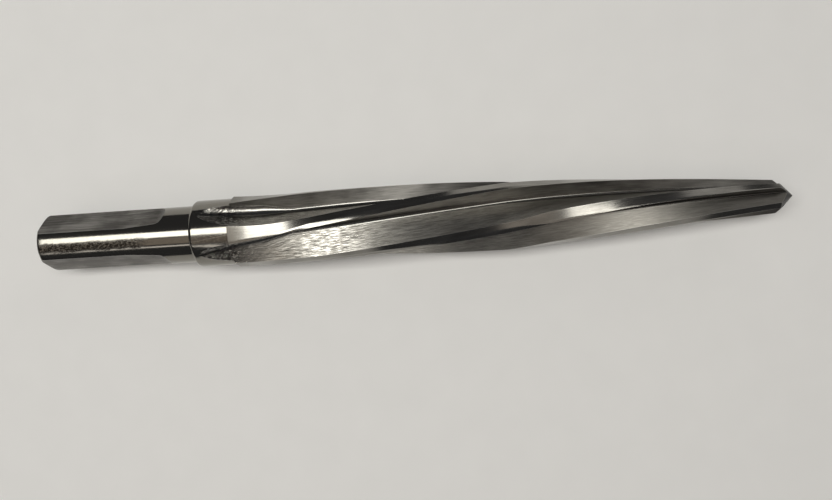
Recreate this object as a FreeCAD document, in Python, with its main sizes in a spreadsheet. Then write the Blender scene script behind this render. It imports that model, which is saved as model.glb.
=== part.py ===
import FreeCAD, Part
import Sketcher
import math
import os

# A taper reamer with a three-flat shank, lying along X, the middle of its shank end at the
# origin. Two pieces meet face to face at the shoulder, where such tools are friction welded:
#   shank        alloy steel round bar with three ground drive flats
#   fluted_body  high speed steel: collar, five left-hand spiral flutes, taper and point

Vector = FreeCAD.Vector
X_AXIS = Vector(1, 0, 0)
Z_AXIS = Vector(0, 0, 1)

# millimetres and degrees
SIZES = {
    # shank, from its end face
    "shank_diameter": 12.7,
    "shank_length": 34.65,
    "shank_end_round": 0.8,
    "flat_distance": 5.37,
    "flat_length": 20.0,
    "flat_rise_length": 6.8,
    "flat_rise_height": 0.3,
    "flat_wheel_radius": 3.0,
    "flat_count": 3,
    "shank_roll": 51.9,
    # fluted body, from its back face
    "body_length": 130.45,
    "collar_diameter": 14.88,
    "collar_length": 8.75,
    "shoulder_round": 0.9,
    "land_diameter": 15.875,
    "step_chamfer": 0.25,
    "taper_start": 69.25,
    "point_base_diameter": 7.4,
    "point_length": 3.7,
    "point_flat_diameter": 0.2,
    "body_roll": -30.5,
    # flutes: ratios are of the land radius at each station, angles are from the cutting edge
    "flute_count": 5,
    "twist_per_mm": 1.0345,
    "wall_lean": 1.6,
    "floor_tilt": 3.2,
    "taper_floor_tilt": 6.0,
    "core_ratio": 0.518,
    "root_round_ratio": 0.09,
    "run_out_end": 23.35,
    "run_out_wheel_radius": 75.0,
    # the land's relief facet, and the round margin that it leaves on the straight lands
    "relief_normal": 15.5,
    "least_margin": 0.8,
    "full_margin": 6.5,
    "margin_start": 21.0,
    "margin_end": 72.0,
    "margin_fade": 6.0,
    # the cutter sections that the loft runs through
    "first_station": -0.5,
    "last_station": 134.0,
    "straight_steps": 14,
    "taper_steps": 9,
}

# The flutes leave less than this share of the blank; more means that a cut went astray.
MOST_LEFT_BY_FLUTES = 0.8

# how far the relief line leans from the horizontal when its flute's edge is at the top
RELIEF_LINE_ANGLE = "360 / Sizes.flute_count - Sizes.relief_normal"

doc = FreeCAD.newDocument("taper_reamer")


def make_sheet():
    sheet = doc.addObject("Spreadsheet::Sheet", "Sizes")
    for row, (alias, value) in enumerate(SIZES.items(), start=1):
        sheet.set(f"A{row}", alias)
        sheet.set(f"B{row}", str(value))
        sheet.setAlias(f"B{row}", alias)
    doc.recompute()


def origin_feature(body, role):
    return next(item for item in body.Origin.OriginFeatures if item.Role == role)


def new_body(label, roll_cell, start_expression):
    """A body turned about X by its roll and slid to where it starts."""
    body = doc.addObject("PartDesign::Body", label)
    body.Label = label
    body.Placement = FreeCAD.Placement(Vector(), FreeCAD.Rotation(X_AXIS, 1))
    body.setExpression("Placement.Rotation.Angle", f"-Sizes.{roll_cell}")
    body.setExpression("Placement.Base.x", start_expression)
    return body


def new_sketch(body, name, plane_role):
    sketch = body.newObject("Sketcher::SketchObject", name)
    sketch.AttachmentSupport = [(origin_feature(body, plane_role), "")]
    sketch.MapMode = "FlatFace"
    return sketch


def bind(sketch, kind, references, expression, start_value):
    """Add one dimension, tied to the sheet; its start value only helps the first solve."""
    index = sketch.addConstraint(Sketcher.Constraint(kind, *references, start_value))
    sketch.setExpression(f"Constraints[{index}]", expression)


def add_outline(sketch, corners):
    """A closed outline of straight lines, joined end to end."""
    count = len(corners)
    for start, end in zip(corners, corners[1:] + corners[:1]):
        sketch.addGeometry(Part.LineSegment(Vector(*start, 0), Vector(*end, 0)), False)
    for line in range(count):
        following = (line + 1) % count
        sketch.addConstraint(Sketcher.Constraint("Coincident", line, 2, following, 1))


def make_shank():
    body = new_body("shank", "shank_roll", "0")
    section = new_sketch(body, "shank_section", "YZ_Plane")
    section.addGeometry(Part.Circle(Vector(), Z_AXIS, 6), False)
    section.addConstraint(Sketcher.Constraint("Coincident", 0, 3, -1, 1))
    bind(section, "Diameter", (0,), "Sizes.shank_diameter", 12.7)
    bar = body.newObject("PartDesign::Pad", "shank_bar")
    bar.Profile = section
    bar.setExpression("Length", "Sizes.shank_length")
    doc.recompute()

    end_edge = min(range(len(bar.Shape.Edges)), key=lambda i: bar.Shape.Edges[i].BoundBox.XMax)
    rounded = body.newObject("PartDesign::Fillet", "shank_end_round")
    rounded.Base = (bar, [f"Edge{end_edge + 1}"])
    rounded.setExpression("Radius", "Sizes.shank_end_round")
    body.Tip = rounded
    doc.recompute()

    # side view of one flat: straight, a slow rise, then the arc left by the wheel's edge
    side = new_sketch(body, "flat_side_view", "XZ_Plane")
    start = Vector(-2, 5.4, 0)
    bend = Vector(20, 5.4, 0)
    rise_end = Vector(26.8, 5.7, 0)
    wheel_edge = Part.Circle(rise_end + Vector(0, 3, 0), Z_AXIS, 3)
    side.addGeometry(Part.LineSegment(start, bend), False)
    side.addGeometry(Part.LineSegment(bend, rise_end), False)
    side.addGeometry(Part.ArcOfCircle(wheel_edge, 1.5 * math.pi, 1.9 * math.pi), False)
    arc_end = side.Geometry[2].EndPoint
    above_start = Vector(start.x, arc_end.y, 0)
    side.addGeometry(Part.LineSegment(arc_end, above_start), False)
    side.addGeometry(Part.LineSegment(above_start, start), False)
    level, rise, arc, top, back = range(5)
    side.addConstraint(Sketcher.Constraint("Coincident", level, 2, rise, 1))
    side.addConstraint(Sketcher.Constraint("Tangent", rise, 2, arc, 1))
    side.addConstraint(Sketcher.Constraint("Coincident", arc, 2, top, 1))
    side.addConstraint(Sketcher.Constraint("Coincident", top, 2, back, 1))
    side.addConstraint(Sketcher.Constraint("Coincident", back, 2, level, 1))
    side.addConstraint(Sketcher.Constraint("Horizontal", level))
    side.addConstraint(Sketcher.Constraint("Horizontal", top))
    side.addConstraint(Sketcher.Constraint("Vertical", back))
    bind(side, "DistanceX", (level, 1, -1, 1), "Sizes.shank_end_round + 1", 2)
    bind(side, "DistanceX", (-1, 1, level, 2), "Sizes.flat_length", 20)
    bind(side, "DistanceY", (-1, 1, level, 1), "Sizes.flat_distance", 5.4)
    bind(side, "DistanceX", (rise, 1, rise, 2), "Sizes.flat_rise_length", 6.8)
    bind(side, "DistanceY", (rise, 1, rise, 2), "Sizes.flat_rise_height", 0.3)
    bind(side, "Radius", (arc,), "Sizes.flat_wheel_radius", 3)
    bind(side, "DistanceY", (-1, 1, arc, 2), "Sizes.shank_diameter / 2 + 1", arc_end.y)

    flat = body.newObject("PartDesign::Pocket", "drive_flat")
    flat.Profile = side
    flat.Midplane = True
    flat.setExpression("Length", "Sizes.shank_diameter * 2")
    doc.recompute()

    flats = body.newObject("PartDesign::PolarPattern", "drive_flats")
    flats.Originals = [flat]
    flats.Axis = (origin_feature(body, "X_Axis"), [""])
    flats.Angle = 360
    flats.setExpression("Occurrences", "Sizes.flat_count")
    body.Tip = flats
    doc.recompute()
    if flats.Shape.Volume >= flat.Shape.Volume:
        raise SystemExit("the flats were not repeated round the shank")
    return body


def make_blank(body):
    """The turned blank: collar, step up to the lands, long taper and conical point."""
    half = new_sketch(body, "blank_half_section", "XZ_Plane")
    corners = [
        (0, 0), (0, 7.44), (8.75, 7.44), (9, 7.94), (69.25, 7.94),
        (126.75, 3.7), (130.45, 0.1), (130.45, 0),
    ]
    add_outline(half, corners)
    half.addConstraint(Sketcher.Constraint("Coincident", 0, 1, -1, 1))
    half.addConstraint(Sketcher.Constraint("Vertical", 0))
    half.addConstraint(Sketcher.Constraint("Horizontal", 1))
    half.addConstraint(Sketcher.Constraint("Horizontal", 3))
    half.addConstraint(Sketcher.Constraint("Vertical", 6))
    half.addConstraint(Sketcher.Constraint("Horizontal", 7))
    bind(half, "DistanceY", (-1, 1, 0, 2), "Sizes.collar_diameter / 2", 7.44)
    bind(half, "DistanceX", (-1, 1, 1, 2), "Sizes.collar_length", 8.75)
    bind(half, "DistanceX", (1, 2, 2, 2), "Sizes.step_chamfer", 0.25)
    bind(half, "DistanceY", (-1, 1, 2, 2), "Sizes.land_diameter / 2", 7.94)
    bind(half, "DistanceX", (-1, 1, 3, 2), "Sizes.taper_start", 69.25)
    bind(half, "DistanceX", (-1, 1, 4, 2), "Sizes.body_length - Sizes.point_length", 126.75)
    bind(half, "DistanceY", (-1, 1, 4, 2), "Sizes.point_base_diameter / 2", 3.7)
    bind(half, "DistanceX", (-1, 1, 5, 2), "Sizes.body_length", 130.45)
    bind(half, "DistanceY", (-1, 1, 5, 2), "Sizes.point_flat_diameter / 2", 0.1)

    blank = body.newObject("PartDesign::Revolution", "turned_blank")
    blank.Profile = half
    blank.ReferenceAxis = (origin_feature(body, "X_Axis"), [""])
    blank.Angle = 360
    doc.recompute()

    back_edges = [
        index for index, edge in enumerate(blank.Shape.Edges)
        if edge.BoundBox.XMax < 0.01 and edge.BoundBox.ZLength > 10
    ]
    rounded = body.newObject("PartDesign::Fillet", "shoulder_round")
    rounded.Base = (blank, [f"Edge{index + 1}" for index in back_edges])
    rounded.setExpression("Radius", "Sizes.shoulder_round")
    body.Tip = rounded
    doc.recompute()


def station_place(number):
    """Where a cutter section stands, evenly spaced up to the taper and evenly along it."""
    straight = SIZES["straight_steps"]
    if number <= straight:
        return (f"(Sizes.first_station + {number} / Sizes.straight_steps"
                " * (Sizes.taper_start - Sizes.first_station))")
    return (f"(Sizes.taper_start + {number - straight} / Sizes.taper_steps"
            " * (Sizes.last_station - Sizes.taper_start))")


def ramp(place, start_cell):
    """A formula that climbs from 0 to 1 over the fade length that follows a place."""
    return f"min(1; max(0; {place} - Sizes.{start_cell}) / Sizes.margin_fade)"


def make_cutter_section(body, number):
    """One section of the flute cutter, seen along the axis, with the cutting edge at the top.

    Its lines are the flute's floor, the tooth's face (wall), the relief behind the
    neighbouring margin, and two lines that close it well outside the blank.
    """
    place = station_place(number)
    slope = ("(Sizes.land_diameter - Sizes.point_base_diameter) / 2"
             " / (Sizes.body_length - Sizes.point_length - Sizes.taper_start)")
    radius = f"(Sizes.land_diameter / 2 - max(0; {place} - Sizes.taper_start) * {slope})"
    lift = f"max(0; Sizes.run_out_end - {place}) ^ 2 / (2 * Sizes.run_out_wheel_radius)"
    tilt = (f"(Sizes.floor_tilt + {ramp(place, 'margin_end')}"
            " * (Sizes.taper_floor_tilt - Sizes.floor_tilt))")
    margin = (f"(Sizes.least_margin + {ramp(place, 'margin_start')}"
              f" * (1 - {ramp(place, 'margin_end')}) * (Sizes.full_margin - Sizes.least_margin))")
    sketch = new_sketch(body, f"cutter_section_{number:02d}", "YZ_Plane")
    sketch.AttachmentOffset = FreeCAD.Placement(Vector(), FreeCAD.Rotation(Z_AXIS, 1))
    sketch.setExpression("AttachmentOffset.Base.z", place)
    sketch.setExpression("AttachmentOffset.Rotation.Angle", f"-Sizes.twist_per_mm * {place}")
    doc.recompute()

    # a first shape for the solver, lifted as this section's floor will be
    ahead = max(0, SIZES["run_out_end"] - sketch.AttachmentOffset.Base.z)
    first_lift = ahead ** 2 / (2 * SIZES["run_out_wheel_radius"])
    heel = Vector(-5.6 + 0.3 * first_lift, 4.8 + 0.9 * first_lift, 0)
    root = Vector(-0.2, 4.0 + first_lift, 0)
    wall_top = Vector(0.4, 16, 0)
    far_corner = Vector(-16, 6.4, 0)
    margin_back = Vector(-8, 3, 0)
    corner = Part.Circle(root + Vector(-0.8, 0.8, 0), Z_AXIS, 0.8)
    sketch.addGeometry(Part.LineSegment(heel, root + Vector(-0.8, 0, 0)), False)
    sketch.addGeometry(Part.ArcOfCircle(corner, 1.5 * math.pi, 2 * math.pi), False)
    sketch.addGeometry(Part.LineSegment(root + Vector(0, 0.8, 0), wall_top), False)
    sketch.addGeometry(Part.LineSegment(wall_top, far_corner), False)
    sketch.addGeometry(Part.LineSegment(far_corner, margin_back), False)
    sketch.addGeometry(Part.LineSegment(margin_back, heel), False)
    floor, root_round, wall, roof, side, relief = range(6)
    cutting_edge = sketch.addGeometry(Part.Point(Vector(0, 8, 0)), True)

    sketch.addConstraint(Sketcher.Constraint("Tangent", floor, 2, root_round, 1))
    sketch.addConstraint(Sketcher.Constraint("Tangent", root_round, 2, wall, 1))
    sketch.addConstraint(Sketcher.Constraint("Coincident", wall, 2, roof, 1))
    sketch.addConstraint(Sketcher.Constraint("Coincident", roof, 2, side, 1))
    sketch.addConstraint(Sketcher.Constraint("Coincident", side, 2, relief, 1))
    sketch.addConstraint(Sketcher.Constraint("Coincident", relief, 2, floor, 1))
    sketch.addConstraint(Sketcher.Constraint("PointOnObject", cutting_edge, 1, -2))
    sketch.addConstraint(Sketcher.Constraint("PointOnObject", cutting_edge, 1, wall))
    bind(sketch, "DistanceY", (-1, 1, cutting_edge, 1), radius, 8)
    bind(sketch, "Angle", (wall,), "90 - Sizes.wall_lean", math.radians(88))
    bind(sketch, "DistanceY", (-1, 1, wall, 2), f"2 * {radius}", 16)
    bind(sketch, "Radius", (root_round,), f"Sizes.root_round_ratio * {radius}", 0.8)
    bind(sketch, "Angle", (floor,), f"-{tilt}", math.radians(-4))
    bind(sketch, "Distance", (-1, 1, floor), f"Sizes.core_ratio * {radius} + {lift}", 4)
    bind(sketch, "Angle", (relief,), RELIEF_LINE_ANGLE, math.radians(56))
    bind(sketch, "Distance", (-1, 1, relief), f"{radius} * cos(Sizes.relief_normal - {margin})", 7)
    bind(sketch, "DistanceX", (relief, 1, -1, 1), radius, 8)
    bind(sketch, "DistanceX", (side, 1, -1, 1), f"2 * {radius}", 16)
    bind(sketch, "DistanceY", (-1, 1, side, 1), f"0.8 * {radius}", 6.4)
    return sketch


def make_flutes(body):
    sections = []
    for number in range(SIZES["straight_steps"] + SIZES["taper_steps"] + 1):
        sections.append(make_cutter_section(body, number))
    doc.recompute()
    for sketch in sections:
        if sketch.solve() != 0:
            raise SystemExit(f"{sketch.Name} has no solution")

    flute = body.newObject("PartDesign::SubtractiveLoft", "flute")
    flute.Profile = sections[0]
    flute.Sections = sections[1:]
    flute.Ruled = False
    body.Tip = flute
    doc.recompute()

    flutes = body.newObject("PartDesign::PolarPattern", "flutes")
    flutes.Originals = [flute]
    flutes.Axis = (origin_feature(body, "X_Axis"), [""])
    flutes.Angle = 360
    flutes.setExpression("Occurrences", "Sizes.flute_count")
    body.Tip = flutes
    doc.recompute()


def make_fluted_body():
    body = new_body("fluted_body", "body_roll", "Sizes.shank_length")
    make_blank(body)
    blank_volume = body.Shape.Volume
    make_flutes(body)
    if body.Shape.Volume > blank_volume * MOST_LEFT_BY_FLUTES:
        raise SystemExit("the flutes cut too little")
    return body


def check_and_export(bodies):
    for item in doc.Objects:
        if "Invalid" in item.State or "Error" in item.State:
            raise SystemExit(f"{item.Name} failed: {item.State}")
    os.makedirs("parts", exist_ok=True)
    for body in bodies:
        if body.Shape.isNull() or not body.Shape.isValid():
            raise SystemExit(f"{body.Label} has no valid shape")
        body.Shape.exportStep(f"parts/{body.Label}.step")
        print(body.Label, f"{body.Shape.Volume:.1f} mm3")


make_sheet()
check_and_export([make_shank(), make_fluted_body()])
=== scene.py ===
import math

import bmesh
import bpy
from mathutils import Matrix, Vector, noise


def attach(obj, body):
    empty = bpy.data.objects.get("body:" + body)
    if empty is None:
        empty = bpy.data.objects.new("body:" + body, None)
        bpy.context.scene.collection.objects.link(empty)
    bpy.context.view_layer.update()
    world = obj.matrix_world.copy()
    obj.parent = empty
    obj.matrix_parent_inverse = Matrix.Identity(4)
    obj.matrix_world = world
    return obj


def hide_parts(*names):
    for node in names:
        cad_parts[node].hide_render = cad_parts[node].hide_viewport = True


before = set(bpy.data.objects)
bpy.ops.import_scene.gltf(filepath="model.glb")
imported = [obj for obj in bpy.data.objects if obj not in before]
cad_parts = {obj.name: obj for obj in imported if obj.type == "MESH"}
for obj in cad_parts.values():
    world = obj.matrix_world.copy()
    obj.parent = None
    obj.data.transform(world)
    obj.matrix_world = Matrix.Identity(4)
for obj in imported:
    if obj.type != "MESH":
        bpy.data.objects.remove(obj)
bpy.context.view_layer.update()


# ---------------------------------------------------------------------------------------------
# Shank: a round bar of alloy steel, turned and polished, with a small rounded end. Three drive
# flats for a chuck's jaws are ground along it; each rises slowly and ends in the curve left by
# the grinding wheel's edge, so that the last stretch before the collar is all round.
# ---------------------------------------------------------------------------------------------
MM = 0.001
SHANK_RADIUS = 6.345
SHANK_LENGTH = 34.65
SHANK_END_ROUND = 0.8
FLAT_DISTANCE = 5.37
FLAT_LENGTH = 20.0
FLAT_RISE_LENGTH = 6.8
FLAT_RISE_HEIGHT = 0.3
FLAT_WHEEL_RADIUS = 3.0
FLAT_CURVE_END = 28.9
FLAT_NORMALS = (51.9, 171.9, 291.9)
NARROWEST_FLAT = math.radians(1.2)
FLAT_POINTS = 14
ROUND_POINTS = 26
FAR_FROM_RIM = 3.0
TURNED_SLACK = 0.001
LEAST_CUT = 0.004
GRAIN_PITCH = 0.33
MERGE_DISTANCE = 0.0005
SHORTEST_EDGE = 0.0002
SHARP_ANGLE = 20.0
SEAM_ANGLE = 3.0
THIRD_TURN = math.radians(120)
SCUFF_TURN = math.radians(48.5)
SCUFF_HALF = math.radians(7.0)
GRIPPED_LENGTH = 26.0
BARE_STEEL = (0.25, 0.24, 0.215)
DARK_STEEL = (0.035, 0.031, 0.027)
# Colours for the rims at crisp edges: partly rubbed wear, partly a painted edge highlight.
RUBBED_STEEL_PAINTED_HIGHLIGHT = (0.42, 0.41, 0.39)
BRIGHT_RUBBED_STEEL_PAINTED_HIGHLIGHT = (0.45, 0.44, 0.42)


class Signal:
    """A node's output whose arithmetic adds Math nodes to the same finish."""

    def __init__(self, finish, socket):
        self.finish = finish
        self.socket = socket

    def beside(self, output):
        """Another output of the same node."""
        return Signal(self.finish, self.socket.node.outputs[output])

    def maths(self, operation, first, second):
        return self.finish.node("Math", {0: first, 1: second}, operation=operation)

    def __add__(self, other):
        return self.maths("ADD", self, other)

    def __sub__(self, other):
        return self.maths("SUBTRACT", self, other)

    def __mul__(self, other):
        return self.maths("MULTIPLY", self, other)

    def __truediv__(self, other):
        return self.maths("DIVIDE", self, other)

    def __pow__(self, other):
        return self.maths("POWER", self, other)

    def __mod__(self, other):
        return self.maths("MODULO", self, other)

    def __radd__(self, other):
        return self.maths("ADD", other, self)

    def __rsub__(self, other):
        return self.maths("SUBTRACT", other, self)

    def __rmul__(self, other):
        return self.maths("MULTIPLY", other, self)


class Finish:
    """A metal finish: one material, and the few ways in which its nodes are added."""

    def __init__(self, name):
        self.material = bpy.data.materials.new(name)
        self.material.use_nodes = True
        self.tree = self.material.node_tree
        self.tree.nodes.clear()

    def node(self, kind, sockets=None, output=0, **settings):
        made = self.tree.nodes.new("ShaderNode" + kind)
        for name, value in settings.items():
            setattr(made, name, value)
        for key, value in (sockets or {}).items():
            if isinstance(value, Signal):
                self.tree.links.new(value.socket, made.inputs[key])
            else:
                made.inputs[key].default_value = value
        return Signal(self, made.outputs[output]) if made.outputs else None

    def ramp(self, value, low, high, from_shade=0.0, to_shade=1.0):
        """A smooth step: one shade below low, the other above high."""
        return self.node(
            "MapRange",
            {
                "Value": value,
                "From Min": low,
                "From Max": high,
                "To Min": from_shade,
                "To Max": to_shade,
            },
            interpolation_type="SMOOTHSTEP",
        )

    def noise(self, vector, size, detail=3.0, stretch=(1, 1, 1), roughness=0.5):
        """Noise whose grains are size millimetres, drawn out along an axis by its stretch."""
        scale = tuple(1 / (size * MM * s) for s in stretch)
        placed = self.node("Mapping", {"Vector": vector, "Scale": scale})
        return self.node(
            "TexNoise", {"Vector": placed, "Scale": 1.0, "Detail": detail, "Roughness": roughness}
        )

    # Mask for the lighter rims at crisp edges: partly rubbed wear, partly a painted edge highlight.
    def rubbed_edge_and_painted_highlight(self, breakup, ragged, width):
        """One at a crisp edge, falling to nothing at width millimetres from it, raggedly."""
        rim = self.node("Attribute", output="Fac", attribute_name="rim")
        return self.ramp(rim + (breakup - 0.5) * (ragged * MM), 0.0, width * MM, 1.0, 0.0)

    def mix(self, factor, first, second):
        """Between two colours, whose sockets share their names with other kinds of mix."""
        return self.node("Mix", {0: factor, 6: first, 7: second}, output=2, data_type="RGBA")

    def steel(self, colour, roughness, height, depth):
        """Close the finish: a metal of this colour and roughness, its relief depth in mm."""
        bump = self.node("Bump", {"Height": height, "Distance": depth * MM, "Strength": 1.0})
        shader = self.node(
            "BsdfPrincipled",
            {
                "Base Color": colour,
                "Roughness": roughness,
                "Metallic": 1.0,
                "Normal": bump,
            },
        )
        self.node("OutputMaterial", {"Surface": shader})
        return self.material


def opaque(colour):
    return (*colour, 1.0)


def turned_steel(name, scuffs, gripped_to):
    """Polished round: fine rings left by the polishing belt; scuffed dark, in a ragged stretch
    that ends at gripped_to millimetres, where chuck jaws have held it."""
    finish = Finish(name)
    place = finish.node("TexCoord", output="Object")
    along = finish.node("SeparateXYZ", {"Vector": place})
    across_y, across_z = along.beside("Y"), along.beside("Z")
    radius = (across_y * across_y + across_z * across_z) ** 0.5
    ring_place = finish.node(
        "CombineXYZ", {"X": along + radius, "Y": across_y * 0.03, "Z": across_z * 0.03}
    )
    rings = finish.noise(ring_place, 0.11, detail=4.0)
    wide_rings = finish.noise(ring_place, 0.9, detail=2.0)
    clouds = finish.noise(place, 1.5, detail=5.0, stretch=(2.4, 1, 1), roughness=0.65)
    specks = finish.noise(place, 0.36, detail=4.0, stretch=(1.7, 1, 1), roughness=0.75)
    gripped = finish.ramp(
        along + (clouds - 0.5) * (9 * MM), (gripped_to - 4) * MM, gripped_to * MM, 1.0, 0.10
    )
    turn = finish.node("Math", {0: across_y, 1: across_z}, operation="ARCTAN2")
    from_middle = finish.node(
        "Math",
        {0: (turn - SCUFF_TURN + 7 * THIRD_TURN) % THIRD_TURN - THIRD_TURN / 2},
        operation="ABSOLUTE",
    )
    band = finish.ramp(
        from_middle + (clouds + specks - 1.0) * 0.30, SCUFF_HALF, SCUFF_HALF + 0.07, 1.0, 0.12
    )
    worn = finish.ramp(clouds, 0.28, 0.42) * band * gripped * scuffs
    speckled = finish.ramp(specks, 0.42, 0.52) * worn
    edge = finish.rubbed_edge_and_painted_highlight(specks, 0.10, 0.10)
    colour = finish.mix(worn * 0.2 + speckled * 0.8, opaque(BARE_STEEL), opaque(DARK_STEEL))
    # Rims at crisp edges made lighter: partly rubbed wear, partly a painted edge highlight.
    colour = finish.mix(edge * 0.6, colour, opaque(RUBBED_STEEL_PAINTED_HIGHLIGHT))
    roughness = 0.085 + rings * 0.05 + worn * 0.03 + speckled * 0.14 + edge * 0.08
    height = rings + wide_rings * 0.5 + speckled * 5.0 + specks * worn * 4.0
    return finish.steel(colour, roughness, height, 0.0011)


def ground_flat_steel(name):
    """Ground lengthwise by a coarse wheel and left satin: long scores, dark, lighter at its rims
    from rubbed wear and a painted edge highlight.
    """
    finish = Finish(name)
    place = finish.node("TexCoord", output="Object")
    scores = finish.noise(place, 0.10, detail=4.0, stretch=(45, 1, 1), roughness=0.6)
    bands = finish.noise(place, 0.55, detail=3.0, stretch=(30, 1, 1))
    clouds = finish.noise(place, 5.0, detail=3.0, stretch=(1.6, 1, 1))
    pits = finish.ramp(finish.noise(place, 0.22, detail=3.0, stretch=(2.5, 1, 1)), 0.62, 0.74)
    edge = finish.rubbed_edge_and_painted_highlight(scores, 0.12, 0.12)
    shade = finish.ramp(scores * 0.55 + bands * 0.45, 0.38, 0.62)
    colour = finish.mix(shade, opaque((0.11, 0.106, 0.10)), opaque((0.33, 0.32, 0.302)))
    colour = finish.mix(finish.ramp(clouds, 0.40, 0.62) * 0.55, colour, opaque(DARK_STEEL))
    # Rims made lighter: partly rubbed wear, partly a painted edge highlight.
    colour = finish.mix(edge * 0.7, colour, opaque(BRIGHT_RUBBED_STEEL_PAINTED_HIGHLIGHT))
    roughness = 0.30 + shade * 0.10 + clouds * 0.08 - edge * 0.10 + pits * 0.15
    return finish.steel(colour, roughness, scores + bands * 0.6 - pits * 0.4, 0.0022)


def skin_rings(bm, rings, spots, columns_u):
    """Draw a tube through the rings, one after another, and give each corner its own map place.

    spots holds, for each point, (grain place across, rim distance); the map's second
    coordinate is the place along the tool.
    """
    count = len(rings[0])
    start = bmesh.ops.create_circle(bm, cap_ends=False, segments=count, radius=1.0)["verts"]
    column, station = {}, {}
    for number, vertex in enumerate(start):
        vertex.co = rings[0][number]
        column[vertex], station[vertex] = number, 0
    front = list(start)
    for index in range(1, len(rings)):
        edges = []
        for number, vertex in enumerate(front):
            edges.append(bm.edges.get((vertex, front[(number + 1) % count])))
        made = bmesh.ops.extrude_edge_only(bm, edges=edges)["geom"]
        fresh = {item for item in made if isinstance(item, bmesh.types.BMVert)}
        following = []
        for number, vertex in enumerate(front):
            ahead = next(
                edge.other_vert(vertex) for edge in vertex.link_edges
                if edge.other_vert(vertex) in fresh
            )
            ahead.co = rings[index][number]
            column[ahead], station[ahead] = number, index
            following.append(ahead)
        front = following
    grain = bm.loops.layers.uv.new("grain")
    rim = bm.loops.layers.float.new("rim")
    for face in bm.faces:
        wraps = {column[loop.vert] for loop in face.loops} >= {0, count - 1}
        for loop in face.loops:
            number, index = column[loop.vert], station[loop.vert]
            across = columns_u[count] if wraps and number == 0 else columns_u[number]
            loop[grain].uv = (across * MM, loop.vert.co.x)
            loop[rim] = spots[index][number] * MM
    return column, station


def close_and_show(bm, name, finishes):
    """Close both ends, merge doubles, mark the crisp edges and make the finished piece."""
    open_edges = [edge for edge in bm.edges if edge.is_boundary]
    bmesh.ops.holes_fill(bm, edges=open_edges, sides=0)
    bmesh.ops.remove_doubles(bm, verts=bm.verts, dist=MERGE_DISTANCE * MM)
    bmesh.ops.dissolve_degenerate(bm, edges=bm.edges, dist=SHORTEST_EDGE * MM)
    bmesh.ops.recalc_face_normals(bm, faces=bm.faces)
    for face in bm.faces:
        face.smooth = True
    for edge in bm.edges:
        if len(edge.link_faces) == 2:
            one, other = edge.link_faces
            limit = SEAM_ANGLE if one.material_index != other.material_index else SHARP_ANGLE
            if one.normal.length > 0 and other.normal.length > 0:
                edge.smooth = one.normal.angle(other.normal) < math.radians(limit)
    mesh = bpy.data.meshes.new(name)
    bm.to_mesh(mesh)
    bm.free()
    piece = bpy.data.objects.new(name, mesh)
    bpy.context.scene.collection.objects.link(piece)
    for finish in finishes:
        mesh.materials.append(finish)
    return piece


def steps(start, end, pitch):
    """Even places from start up to, not including, end."""
    count = max(1, round((end - start) / pitch))
    return [start + (end - start) * number / count for number in range(count)]


def shank_radius_at(x):
    if x >= SHANK_END_ROUND:
        return SHANK_RADIUS
    drop = SHANK_END_ROUND - x
    return SHANK_RADIUS - SHANK_END_ROUND + math.sqrt(SHANK_END_ROUND ** 2 - drop ** 2)


def flat_height_at(x):
    """How far a flat is from the axis at x: level, a slow rise, then the wheel's edge."""
    rise_end = FLAT_LENGTH + FLAT_RISE_LENGTH
    if x <= FLAT_LENGTH:
        return FLAT_DISTANCE
    if x <= rise_end:
        return FLAT_DISTANCE + FLAT_RISE_HEIGHT * (x - FLAT_LENGTH) / FLAT_RISE_LENGTH
    slope = math.atan2(FLAT_RISE_HEIGHT, FLAT_RISE_LENGTH)
    middle_x = rise_end - FLAT_WHEEL_RADIUS * math.sin(slope)
    middle_height = (
        FLAT_DISTANCE + FLAT_RISE_HEIGHT + FLAT_WHEEL_RADIUS * math.cos(slope)
    )
    reach = min(x - middle_x, FLAT_WHEEL_RADIUS)
    return middle_height - math.sqrt(FLAT_WHEEL_RADIUS ** 2 - reach ** 2)


def shank_ring(x):
    """The shank's outline at x, and each point's distance from the nearest flat's rim."""
    radius, height = shank_radius_at(x), flat_height_at(x)
    half = math.acos(min(1.0, height / radius))
    spread = max(half, NARROWEST_FLAT)
    outline, rims = [], []
    for normal in FLAT_NORMALS:
        middle = math.radians(normal)
        angles = [
            -spread + 2 * spread * number / FLAT_POINTS for number in range(FLAT_POINTS)
        ] + [
            spread + (THIRD_TURN - 2 * spread) * number / ROUND_POINTS
            for number in range(ROUND_POINTS)
        ]
        for angle in angles:
            reach = radius
            if abs(angle) < half:
                reach = min(radius, height / math.cos(angle))
            outline.append(
                Vector((x, reach * math.sin(middle + angle), reach * math.cos(middle + angle))) * MM
            )
            from_rim = min(abs(angle + half), abs(angle - half), abs(THIRD_TURN - half - angle))
            rims.append(from_rim * radius if half > 0 else FAR_FROM_RIM)
    return outline, rims


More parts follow.
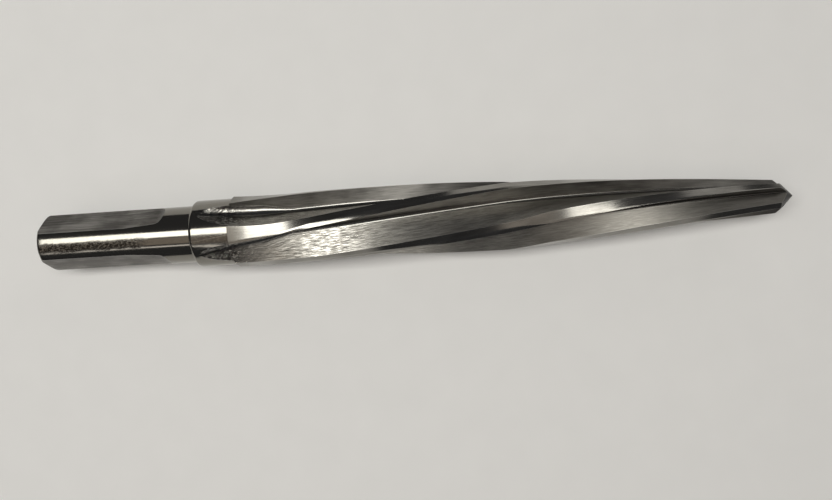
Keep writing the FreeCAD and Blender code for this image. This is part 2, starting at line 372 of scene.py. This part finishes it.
flat_rise_end = FLAT_LENGTH + FLAT_RISE_LENGTH
shank_places = (
    steps(0, SHANK_END_ROUND, 0.08)
    + steps(SHANK_END_ROUND, FLAT_LENGTH, 0.8)
    + steps(FLAT_LENGTH, flat_rise_end, 0.4)
    + steps(flat_rise_end, FLAT_CURVE_END, 0.07)
    + steps(FLAT_CURVE_END, SHANK_LENGTH, 0.7)
    + [SHANK_LENGTH]
)
shank_rings, shank_rims = [], []
for place in shank_places:
    ring, rims = shank_ring(place)
    shank_rings.append(ring)
    shank_rims.append(rims)
around = [number * GRAIN_PITCH for number in range(len(shank_rings[0]) + 1)]
bm = bmesh.new()
column, _ = skin_rings(bm, shank_rings, shank_rims, around)
points_each = FLAT_POINTS + ROUND_POINTS
for face in bm.faces:
    on_flat = all(column[v] % points_each <= FLAT_POINTS for v in face.verts)
    cut = all(
        math.hypot(v.co.y, v.co.z) / MM < shank_radius_at(v.co.x / MM) + TURNED_SLACK
        for v in face.verts
    )
    middle = face.calc_center_median()
    uncut_radius = shank_radius_at(middle.x / MM)
    deep = math.hypot(middle.y, middle.z) / MM < uncut_radius - LEAST_CUT
    face.material_index = 1 if on_flat and cut and deep else 0
shank = close_and_show(
    bm,
    "shank_bar",
    [
        turned_steel("polished_shank_steel", 1.0, GRIPPED_LENGTH),
        ground_flat_steel("ground_flat_steel"),
    ],
)
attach(shank, "root")
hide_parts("shank")


# ---------------------------------------------------------------------------------------------
# Fluted body: high speed steel, turned, hardened and ground. A polished collar steps up to five
# lands; between them left-hand spiral flutes are ground, rough where they run out into the
# collar. The lands run straight, then taper to a plain conical point.
# ---------------------------------------------------------------------------------------------
BODY_START = 34.65
BODY_LENGTH = 130.449
COLLAR_RADIUS = 7.44
COLLAR_LENGTH = 8.75
SHOULDER_ROUND = 0.9
LAND_RADIUS = 7.93
STEP_LENGTH = 0.25
STEP_END = COLLAR_LENGTH + STEP_LENGTH
TAPER_START = 69.25
POINT_RADIUS = 3.7
POINT_START = 126.75
TIP_RADIUS = 0.1
TOOTH_COUNT = 5
FIRST_EDGE = -30.5
TWIST = 1.0345
WALL_LEAN = math.radians(1.6)
CORE_RATIO = 0.518
RUN_OUT_ROOT_RATIO = 0.22
ROOT_ROUND_RATIO = 0.09
ROOT_CHANGE_START = 16.0
FLOOR_TILT = 3.2
FLOOR_TILT_GAIN = 2.8
MARGIN_ANGLE = 0.8
MARGIN_GAIN = 5.7
MARGIN_START = 21.0
TAPER_CHANGE_START = 72.0
CHANGE_LENGTH = 6.0
RUN_OUT_END = 23.35
RUN_OUT_WHEEL_RADIUS = 75.0
RELIEF_NORMAL = math.radians(15.5)
PITCH_ANGLE = math.radians(360 / TOOTH_COUNT)
WALL_POINTS = 9
ROOT_POINTS = 7
FLOOR_POINTS = 14
HEEL_POINTS = 6
RELIEF_POINTS = 6
MARGIN_POINTS = 3
SHOULDER_END = 1.0
BREAKOUT_END = 2.5
RUN_OUT_FINE_END = 30.0
SAME_POINT = 1e-6
UNCUT_SLACK = 0.0015
COLLAR_SCUFFS = 0.4
COLLAR_SCUFFED_TO = 60.0


def climb(x, start):
    """From 0 at the start to 1 a change length later."""
    return min(1.0, max(0.0, x - start) / CHANGE_LENGTH)


def land_radius_at(x):
    slope = (LAND_RADIUS - POINT_RADIUS) / (POINT_START - TAPER_START)
    return LAND_RADIUS - max(0.0, x - TAPER_START) * slope


def blank_radius_at(x):
    """The turned blank: shoulder round, collar, step, lands, taper and point."""
    if x < SHOULDER_ROUND:
        drop = SHOULDER_ROUND - x
        return COLLAR_RADIUS - SHOULDER_ROUND + math.sqrt(SHOULDER_ROUND ** 2 - drop ** 2)
    if x <= COLLAR_LENGTH:
        return COLLAR_RADIUS
    if x < STEP_END:
        return COLLAR_RADIUS + (x - COLLAR_LENGTH) / STEP_LENGTH * (LAND_RADIUS - COLLAR_RADIUS)
    if x <= POINT_START:
        return land_radius_at(x)
    run = (x - POINT_START) / (BODY_LENGTH - POINT_START)
    return POINT_RADIUS + (TIP_RADIUS - POINT_RADIUS) * run


def between(first, last, count):
    return [first + (last - first) * number / count for number in range(count)]


def on_circle(angle, radius):
    return Vector((radius * math.sin(angle), radius * math.cos(angle)))


def tooth_gap(x):
    """Outline from one cutting edge, down its face, across the flute and back up to the next
    edge, as points seen along the axis with the first edge at the top. Each point comes with
    its distance from the nearest crisp edge."""
    land, blank = land_radius_at(x), blank_radius_at(x)
    lift = max(0.0, RUN_OUT_END - x) ** 2 / (2 * RUN_OUT_WHEEL_RADIUS)
    tapered = climb(x, TAPER_CHANGE_START)
    tilt = math.radians(FLOOR_TILT + FLOOR_TILT_GAIN * tapered)
    margin = math.radians(MARGIN_ANGLE + MARGIN_GAIN * climb(x, MARGIN_START) * (1 - tapered))
    depth = CORE_RATIO * land + lift
    past_run_out = climb(x, ROOT_CHANGE_START)
    root = land * (
        RUN_OUT_ROOT_RATIO + past_run_out * (ROOT_ROUND_RATIO - RUN_OUT_ROOT_RATIO)
    )

    # the face leans a little; it starts where it meets the blank
    lean = math.tan(WALL_LEAN)
    reach = min(blank, land)
    square = 1 + lean * lean
    inside = max(0.0, (lean * lean * land) ** 2 - square * (lean * lean * land * land - reach ** 2))
    top = (lean * lean * land + math.sqrt(inside)) / square
    wall_top = Vector((lean * (top - land), top))

    # the root's fillet touches the floor and the face
    floor_normal = Vector((math.sin(tilt), math.cos(tilt)))
    face_normal = Vector((-math.cos(WALL_LEAN), math.sin(WALL_LEAN)))
    across = Matrix((floor_normal, face_normal))
    centre = across.inverted() @ Vector((depth + root, root + land * math.sin(WALL_LEAN)))
    wall_foot = centre - face_normal * root
    floor_start = centre - floor_normal * root

    # the heel is where the floor meets the relief behind the next tooth's margin
    relief_angle = -PITCH_ANGLE + RELIEF_NORMAL
    relief_depth = land * math.cos(RELIEF_NORMAL - margin)
    relief_normal = Vector((math.sin(relief_angle), math.cos(relief_angle)))
    heel = Matrix((floor_normal, relief_normal)).inverted() @ Vector((depth, relief_depth))
    half = math.acos(min(1.0, relief_depth / blank))
    if heel.length > blank:
        floor_end = on_circle(tilt - math.acos(min(1.0, depth / blank)), blank)
        relief_start = on_circle(relief_angle + half, blank)
    else:
        floor_end = heel
        relief_start = heel
    relief_end = on_circle(relief_angle - half, blank)

    points = []
    for share in between(0.0, 1.0, WALL_POINTS):
        points.append(wall_top.lerp(wall_foot, share))
    turn = math.pi / 2 - tilt + WALL_LEAN
    for share in between(0.0, 1.0, ROOT_POINTS):
        spoke = wall_foot - centre
        points.append(centre + Matrix.Rotation(-turn * share, 2) @ spoke)
    for share in between(0.0, 1.0, FLOOR_POINTS):
        points.append(floor_start.lerp(floor_end, share))
    if (floor_end - relief_start).length > SAME_POINT:
        first = math.atan2(floor_end.x, floor_end.y)
        last = math.atan2(relief_start.x, relief_start.y)
        for angle in between(first, last, HEEL_POINTS):
            points.append(on_circle(angle, blank))
    else:
        points += [heel.copy() for _ in range(HEEL_POINTS)]
    for share in between(0.0, 1.0, RELIEF_POINTS):
        points.append(relief_start.lerp(relief_end, share))
    first = math.atan2(relief_end.x, relief_end.y)
    for angle in between(first, -PITCH_ANGLE, MARGIN_POINTS):
        points.append(on_circle(angle, blank))

    kept, rims = [], []
    corners = [wall_top, floor_end, relief_start, relief_end, on_circle(-PITCH_ANGLE, reach)]
    for point in points:
        if point.length > blank:
            point = point * (blank / point.length)
        kept.append(point)
        rims.append(min((point - corner).length for corner in corners))
    return kept, rims


def body_ring(x):
    """All five gaps at x millimetres from the body's back face, one after another."""
    gap, gap_rims = tooth_gap(x)
    ring, rims = [], []
    for tooth in range(TOOTH_COUNT):
        turn = math.radians(FIRST_EDGE + TWIST * x) - tooth * PITCH_ANGLE
        for point in gap:
            sideways = point.x * math.cos(turn) + point.y * math.sin(turn)
            upwards = -point.x * math.sin(turn) + point.y * math.cos(turn)
            ring.append(Vector((BODY_START + x, sideways, upwards)) * MM)
        rims += gap_rims
    return ring, rims


body_places = (
    steps(0, SHOULDER_END, 0.1)
    + steps(SHOULDER_END, BREAKOUT_END, 0.08)
    + steps(BREAKOUT_END, COLLAR_LENGTH, 0.2)
    + steps(COLLAR_LENGTH, STEP_END, 0.05)
    + steps(STEP_END, RUN_OUT_FINE_END, 0.35)
    + steps(RUN_OUT_FINE_END, TAPER_START, 0.55)
    + steps(TAPER_START, POINT_START, 0.6)
    + steps(POINT_START, BODY_LENGTH, 0.09)
    + [BODY_LENGTH]
)
body_rings, body_rims = [], []
for place in body_places:
    ring, rims = body_ring(place)
    body_rings.append(ring)
    body_rims.append(rims)

# where each column of points lies across the steel, for the grain of the grinding
gap_widths = (
    [0.30] * WALL_POINTS + [0.38] * ROOT_POINTS + [0.40] * FLOOR_POINTS
    + [0.2] * HEEL_POINTS + [0.36] * RELIEF_POINTS + [0.3] * MARGIN_POINTS
)
ROOT_PLACE = sum(gap_widths[:WALL_POINTS])
ROOT_WIDTH = sum(gap_widths[WALL_POINTS:WALL_POINTS + ROOT_POINTS])
GAP_WIDTH = sum(gap_widths)
across_places = [0.0]
for tooth in range(TOOTH_COUNT):
    for width in gap_widths:
        across_places.append(across_places[-1] + width)

COLLAR, FACE, FLOOR, LAND, POINT = range(5)
face_end = WALL_POINTS
root_end = WALL_POINTS + ROOT_POINTS
floor_end_column = root_end + FLOOR_POINTS
bm = bmesh.new()
column, station = skin_rings(bm, body_rings, body_rims, across_places)
for face in bm.faces:
    uncut = all(
        math.hypot(v.co.y, v.co.z) / MM > blank_radius_at(body_places[station[v]]) - UNCUT_SLACK
        for v in face.verts
    )
    x = face.calc_center_median().x / MM - BODY_START
    columns = {column[v] for v in face.verts}
    wraps = columns >= {0, len(body_rings[0]) - 1}
    place = (max(columns) if wraps else min(columns)) % len(gap_widths)
    if uncut and x < STEP_END:
        face.material_index = COLLAR
    elif uncut and x > POINT_START:
        face.material_index = POINT
    elif place < face_end:
        face.material_index = FACE
    elif place < floor_end_column:
        face.material_index = FLOOR
    else:
        face.material_index = LAND


# the wheel chattered where it left the steel: real ripples in the run-outs
CHATTER_DEPTH = 0.06
CHATTER_START = 1.2
CHATTER_END = 17.0
CHATTER_FADE = 7.0
FULL_CHATTER_BELOW = 0.35
LEAST_CHATTER_BELOW = 0.05
COARSE_RIPPLE = (1.9, 1.15, 3.0)
FINE_RIPPLE = (4.1, 2.6, 9.0)
FINE_SHARE = 0.6


def ripple_at(across, x, ripple):
    """Ripples whose first two values are how many there are per mm, across and along."""
    per_across, per_along, layer = ripple
    return noise.noise(Vector((across * per_across, x * per_along, layer)))


for vertex, number in column.items():
    place = number % len(gap_widths)
    x = vertex.co.x / MM - BODY_START
    if root_end <= place < floor_end_column and CHATTER_START < x < CHATTER_END:
        reach = math.hypot(vertex.co.y, vertex.co.z) / MM
        below = blank_radius_at(x) - reach
        fade = min(1.0, below / FULL_CHATTER_BELOW) * min(1.0, (CHATTER_END - x) / CHATTER_FADE)
        if below > LEAST_CHATTER_BELOW:
            across = across_places[number]
            ripple = ripple_at(across, x, COARSE_RIPPLE)
            ripple += FINE_SHARE * ripple_at(across, x, FINE_RIPPLE)
            scale = 1 - CHATTER_DEPTH * fade * (0.5 + ripple) / reach
            vertex.co.y *= scale
            vertex.co.z *= scale


def along_body(finish, along, start, end, before, after):
    """A shade that changes between two places, in mm from the body's back face."""
    return finish.ramp(along, (BODY_START + start) * MM, (BODY_START + end) * MM, before, after)


def ground_land_steel(name):
    """Lands, ground across with a fine wheel: bright, a soft sheen, faint cross lines."""
    finish = Finish(name)
    place = finish.node("TexCoord", output="UV")
    lines = finish.noise(place, 0.09, detail=4.0, stretch=(25, 1, 1), roughness=0.6)
    streaks = finish.noise(place, 0.16, detail=3.0, stretch=(1, 30, 1))
    clouds = finish.noise(place, 4.0, detail=3.0, stretch=(1, 2, 1))
    grains = finish.noise(place, 0.3, detail=4.0, roughness=0.7)
    along = finish.node("SeparateXYZ", {"Vector": place}, output="Y")
    satin = along_body(finish, along + (grains - 0.5) * (2 * MM), 10, 13.4, 1.0, 0.0)
    edge = finish.rubbed_edge_and_painted_highlight(lines, 0.10, 0.11)
    shade = finish.ramp(clouds * 0.6 + streaks * 0.4, 0.35, 0.65)
    colour = finish.mix(shade, opaque((0.20, 0.193, 0.178)), opaque((0.32, 0.31, 0.288)))
    colour = finish.mix(satin * grains, colour, opaque((0.13, 0.118, 0.10)))
    # Rims at crisp edges made lighter: partly rubbed wear, partly a painted edge highlight.
    colour = finish.mix(edge * 0.6, colour, opaque((0.50, 0.49, 0.46)))
    taper = along_body(finish, along, 55, 66, 0.0, 0.03)
    roughness = 0.10 + lines * 0.05 + streaks * 0.04 - edge * 0.03 + satin * 0.16 + taper
    return finish.steel(colour, roughness, lines + streaks * 0.5 + grains * satin, 0.0010)


def ground_face_steel(name):
    """The teeth's faces: ground along the spiral, dark and even, lighter at the edge from rubbed
    wear and a painted edge highlight.
    """
    finish = Finish(name)
    place = finish.node("TexCoord", output="UV")
    streaks = finish.noise(place, 0.09, detail=4.0, stretch=(1, 60, 1), roughness=0.6)
    clouds = finish.noise(place, 2.5, detail=3.0, stretch=(1, 3, 1))
    edge = finish.rubbed_edge_and_painted_highlight(streaks, 0.10, 0.10)
    colour = finish.mix(
        finish.ramp(streaks * 0.6 + clouds * 0.4, 0.3, 0.7),
        opaque((0.06, 0.058, 0.054)),
        opaque((0.21, 0.202, 0.19)),
    )
    # Rims at crisp edges made lighter: partly rubbed wear, partly a painted edge highlight.
    colour = finish.mix(edge * 0.6, colour, opaque(RUBBED_STEEL_PAINTED_HIGHLIGHT))
    roughness = 0.34 + streaks * 0.12 + clouds * 0.06
    return finish.steel(colour, roughness, streaks, 0.0014)


def ground_flute_steel(name):
    """The flutes, ground along the spiral: long brushed lines and flecks, the brightest with
    painted glints; a root left shiny by the wheel's corner; painted sheen partway along and painted
    shade towards the point, the root included; and a rough stretch with near-black patches where
    the wheel ran out."""
    finish = Finish(name)
    grain = finish.node("TexCoord", output="UV")
    place = finish.node("TexCoord", output="Object")
    along = finish.node("SeparateXYZ", {"Vector": place})
    across = finish.node("SeparateXYZ", {"Vector": grain}) / MM
    streaks = finish.noise(grain, 0.12, detail=5.0, stretch=(1, 40, 1), roughness=0.65)
    strands = finish.noise(grain, 0.34, detail=3.0, stretch=(1, 18, 1), roughness=0.6)
    flecks = finish.noise(grain, 0.15, detail=3.0, stretch=(1, 15, 1), roughness=0.7)
    clouds = finish.noise(grain, 3.0, detail=4.0, stretch=(1, 2.4, 1))
    chatter = finish.noise(grain, 0.42, detail=5.0, stretch=(1, 1.2, 1), roughness=0.7)
    run_out = along_body(finish, along + (clouds - 0.5) * (7 * MM), 7, 18, 1.0, 0.0)
    slanted = finish.node("CombineXYZ", {"X": (across * MM) + along * 0.5, "Y": along})
    wheel_marks = finish.noise(slanted, 0.24, detail=4.0, stretch=(1, 5, 1), roughness=0.7)
    brushed = along_body(finish, along + (clouds - 0.5) * (10 * MM), 45, 62, 1.0, 0.4)
    in_gap = across % GAP_WIDTH
    root_far_side = ROOT_PLACE + ROOT_WIDTH
    past_face = finish.ramp(in_gap, ROOT_PLACE - 0.1, ROOT_PLACE + 0.1)
    before_floor = finish.ramp(in_gap, root_far_side - 0.2, root_far_side + 0.2, 1.0, 0.0)
    rooted = past_face * before_floor * (1.0 - run_out * 0.7)
    edge = finish.rubbed_edge_and_painted_highlight(streaks, 0.14, 0.12)
    shade = finish.ramp(streaks * 0.55 + strands * 0.45, 0.41, 0.60)
    colour = finish.mix(shade, opaque((0.16, 0.153, 0.138)), opaque((0.47, 0.455, 0.42)))
    # The brightest flecks: grinding marks, given painted glints in a near-white colour.
    painted_glint_flecks = finish.ramp(flecks, 0.53, 0.60) * brushed
    dark_flecks = finish.ramp(flecks, 0.40, 0.47, 1.0, 0.0) * brushed
    colour = finish.mix(painted_glint_flecks * 0.8, colour, opaque((0.82, 0.80, 0.75)))
    colour = finish.mix(dark_flecks * 0.75, colour, opaque((0.045, 0.041, 0.036)))
    stains = finish.ramp(clouds, 0.50, 0.72)
    colour = finish.mix(stains * 0.3, colour, opaque((0.20, 0.17, 0.135)))
    # Painted sheen: the flute colour turns paler partway along the body, standing in for reflected
    # light.
    pale = along_body(finish, along, 34, 46, 0.0, 0.35)
    colour = finish.mix(pale, colour, opaque((0.55, 0.53, 0.49)))
    # Painted shade: the flute colour darkens towards the point.
    painted_tip_shade = along_body(finish, along, 66, 80, 0.0, 0.65)
    colour = finish.mix(painted_tip_shade, colour, opaque((0.10, 0.095, 0.085)))
    # Near-black patches where the wheel ran out, set by the chatter and wheel-mark noise.
    dark_patches = finish.ramp(chatter * 0.4 + wheel_marks * 0.6, 0.50, 0.56, 1.0, 0.0)
    colour = finish.mix(run_out * 0.5, colour, opaque((0.62, 0.60, 0.56)))
    colour = finish.mix(run_out * dark_patches, colour, opaque((0.016, 0.015, 0.014)))
    # Painted shade: the root's colour darkens towards the point, dimming the bright line it
    # reflects.
    painted_root_shade = along_body(finish, along, 36, 62, 0.0, 1.0)
    root_steel_and_painted_shade = finish.mix(painted_root_shade, opaque((0.26, 0.254, 0.24)), opaque((0.10, 0.096, 0.09)))
    colour = finish.mix(rooted * 0.85, colour, root_steel_and_painted_shade)
    # Rims at crisp edges made lighter: partly rubbed wear, partly a painted edge highlight.
    colour = finish.mix(edge * 0.5, colour, opaque(BRIGHT_RUBBED_STEEL_PAINTED_HIGHLIGHT))
    roughness = finish.node(
        "Mix",
        {0: rooted, 2: 0.385 + shade * 0.06 - painted_glint_flecks * 0.12 - run_out * 0.25, 3: 0.20},
        data_type="FLOAT",
    )
    height = (
        streaks * brushed * 1.2 + strands * brushed * 1.8 + flecks * brushed * 2.2
        + (chatter * 12.0 + wheel_marks * 18.0) * run_out
    )
    return finish.steel(colour, roughness, height * (1.0 - rooted * 0.85), 0.0040)


def point_steel(name):
    """The conical point: ground on its own, dark, with fine rings round the axis."""
    finish = Finish(name)
    place = finish.node("TexCoord", output="Object")
    along = finish.node("SeparateXYZ", {"Vector": place})
    across_y, across_z = along.beside("Y"), along.beside("Z")
    ring_place = finish.node(
        "CombineXYZ", {"X": along, "Y": across_y * 0.1, "Z": across_z * 0.1}
    )
    rings = finish.noise(ring_place, 0.08, detail=4.0)
    specks = finish.noise(place, 0.25, detail=4.0, roughness=0.7)
    edge = finish.rubbed_edge_and_painted_highlight(specks, 0.12, 0.12)
    colour = finish.mix(
        finish.ramp(rings * 0.6 + specks * 0.4, 0.3, 0.7),
        opaque((0.010, 0.0097, 0.0094)),
        opaque((0.034, 0.033, 0.031)),
    )
    # Rims at crisp edges made lighter: partly rubbed wear, partly a painted edge highlight.
    colour = finish.mix(edge * 0.3, colour, opaque((0.16, 0.155, 0.15)))
    return finish.steel(colour, 0.28 + specks * 0.14, rings + specks * 0.6, 0.0016)


fluted = close_and_show(
    bm,
    "fluted_tool",
    [
        turned_steel("polished_collar_steel", COLLAR_SCUFFS, COLLAR_SCUFFED_TO),
        ground_face_steel("ground_face_steel"),
        ground_flute_steel("ground_flute_steel"),
        ground_land_steel("ground_land_steel"),
        point_steel("ground_point_steel"),
    ],
)
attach(fluted, "root")
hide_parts("fluted_body")


# ---------------------------------------------------------------------------------------------
# Studio: a plain pale floor and five soft lights: a long one above and a little behind the tool,
# a thin strip low on the near side, two dim warm panels between those, and a dim panel low on
# the far side. The camera looks down on the tool, its point to the right.
# ---------------------------------------------------------------------------------------------
FLOOR_LEVEL = -7.95
FLOOR_MIDDLE = 0.08
FLOOR_SIZE = 3.0
FLOOR_SQUARES = 8
PALE_PAINT = (0.90, 0.897, 0.893)
PALER_PAINT = (0.94, 0.937, 0.933)
ROOM_LIGHT = (0.06, 0.06, 0.062)
NEAREST_SEEN = 0.005
CAMERA_PLACE = (0.0933361, -0.0024988, 0.1590027)
CAMERA_TURN = (-1.7318, 3.446, -3.6548)
LENS_LENGTH = 31.01
SENSOR_WIDTH = 36.0

bm = bmesh.new()
bmesh.ops.create_grid(bm, x_segments=FLOOR_SQUARES, y_segments=FLOOR_SQUARES, size=FLOOR_SIZE)
bmesh.ops.translate(bm, verts=bm.verts, vec=Vector((FLOOR_MIDDLE, 0, FLOOR_LEVEL * MM)))
floor_mesh = bpy.data.meshes.new("floor")
bm.to_mesh(floor_mesh)
bm.free()
floor = bpy.data.objects.new("floor", floor_mesh)
bpy.context.scene.collection.objects.link(floor)
paint = Finish("pale_floor")
spot = paint.node("TexCoord", output="Object")
mottle = paint.noise(spot, 9.0, detail=2.0)
paint_shader = paint.node(
    "BsdfPrincipled",
    {
        "Base Color": paint.mix(mottle, opaque(PALE_PAINT), opaque(PALER_PAINT)),
        "Roughness": 0.9,
    },
)
paint.node("OutputMaterial", {"Surface": paint_shader})
floor_mesh.materials.append(paint.material)


def strip_at(name, angle, width, distance, middle_x, length, radiance, colour):
    """A light seen from the tool at this angle from the vertical, this many degrees wide; its
    distance, middle and length are in metres."""
    turn = math.radians(angle)
    centre = (middle_x, distance * math.sin(turn), distance * math.cos(turn))
    wide = 2 * distance * math.tan(math.radians(width) / 2)
    lamp = bpy.data.lights.new(name, "AREA")
    lamp.shape = "RECTANGLE"
    lamp.size, lamp.size_y = length, wide
    lamp.energy = radiance * math.pi * wide * length
    lamp.color = colour
    holder = bpy.data.objects.new(name, lamp)
    holder.location = centre
    holder.rotation_euler = (-turn, 0, 0)
    bpy.context.scene.collection.objects.link(holder)


strip_at(
    "overhead_light", angle=6.4, width=20.4, distance=0.6, middle_x=-0.025,
    length=0.71, radiance=5.3, colour=(1.0, 0.985, 0.93),
)
strip_at(
    "low_strip_light", angle=-43.0, width=5.0, distance=0.6, middle_x=-0.25,
    length=0.5, radiance=1.7, colour=(1.0, 0.95, 0.90),
)
strip_at(
    "warm_panel_behind", angle=-21.0, width=26.0, distance=0.7, middle_x=-0.35,
    length=0.5, radiance=0.42, colour=(1.0, 0.84, 0.68),
)
strip_at(
    "warm_panel_ahead", angle=-21.0, width=26.0, distance=0.7, middle_x=0.35,
    length=0.54, radiance=0.42, colour=(1.0, 0.89, 0.78),
)
strip_at(
    "far_panel", angle=62.0, width=26.0, distance=0.7, middle_x=0.55,
    length=0.6, radiance=0.55, colour=(1.0, 0.97, 0.93),
)

world = bpy.data.worlds.new("dark_room")
bpy.context.scene.world = world
world.use_nodes = True
backdrop = world.node_tree.nodes["Background"]
backdrop.inputs["Color"].default_value = opaque(ROOM_LIGHT)
backdrop.inputs["Strength"].default_value = 1.0

camera_data = bpy.data.cameras.new("camera")
camera_data.lens = LENS_LENGTH
camera_data.sensor_width = SENSOR_WIDTH
camera_data.clip_start = NEAREST_SEEN
camera = bpy.data.objects.new("camera", camera_data)
camera.location = CAMERA_PLACE
camera.rotation_euler = [math.radians(angle) for angle in CAMERA_TURN]
bpy.context.scene.collection.objects.link(camera)
bpy.context.scene.camera = camera
bpy.context.scene.view_settings.view_transform = "Standard"
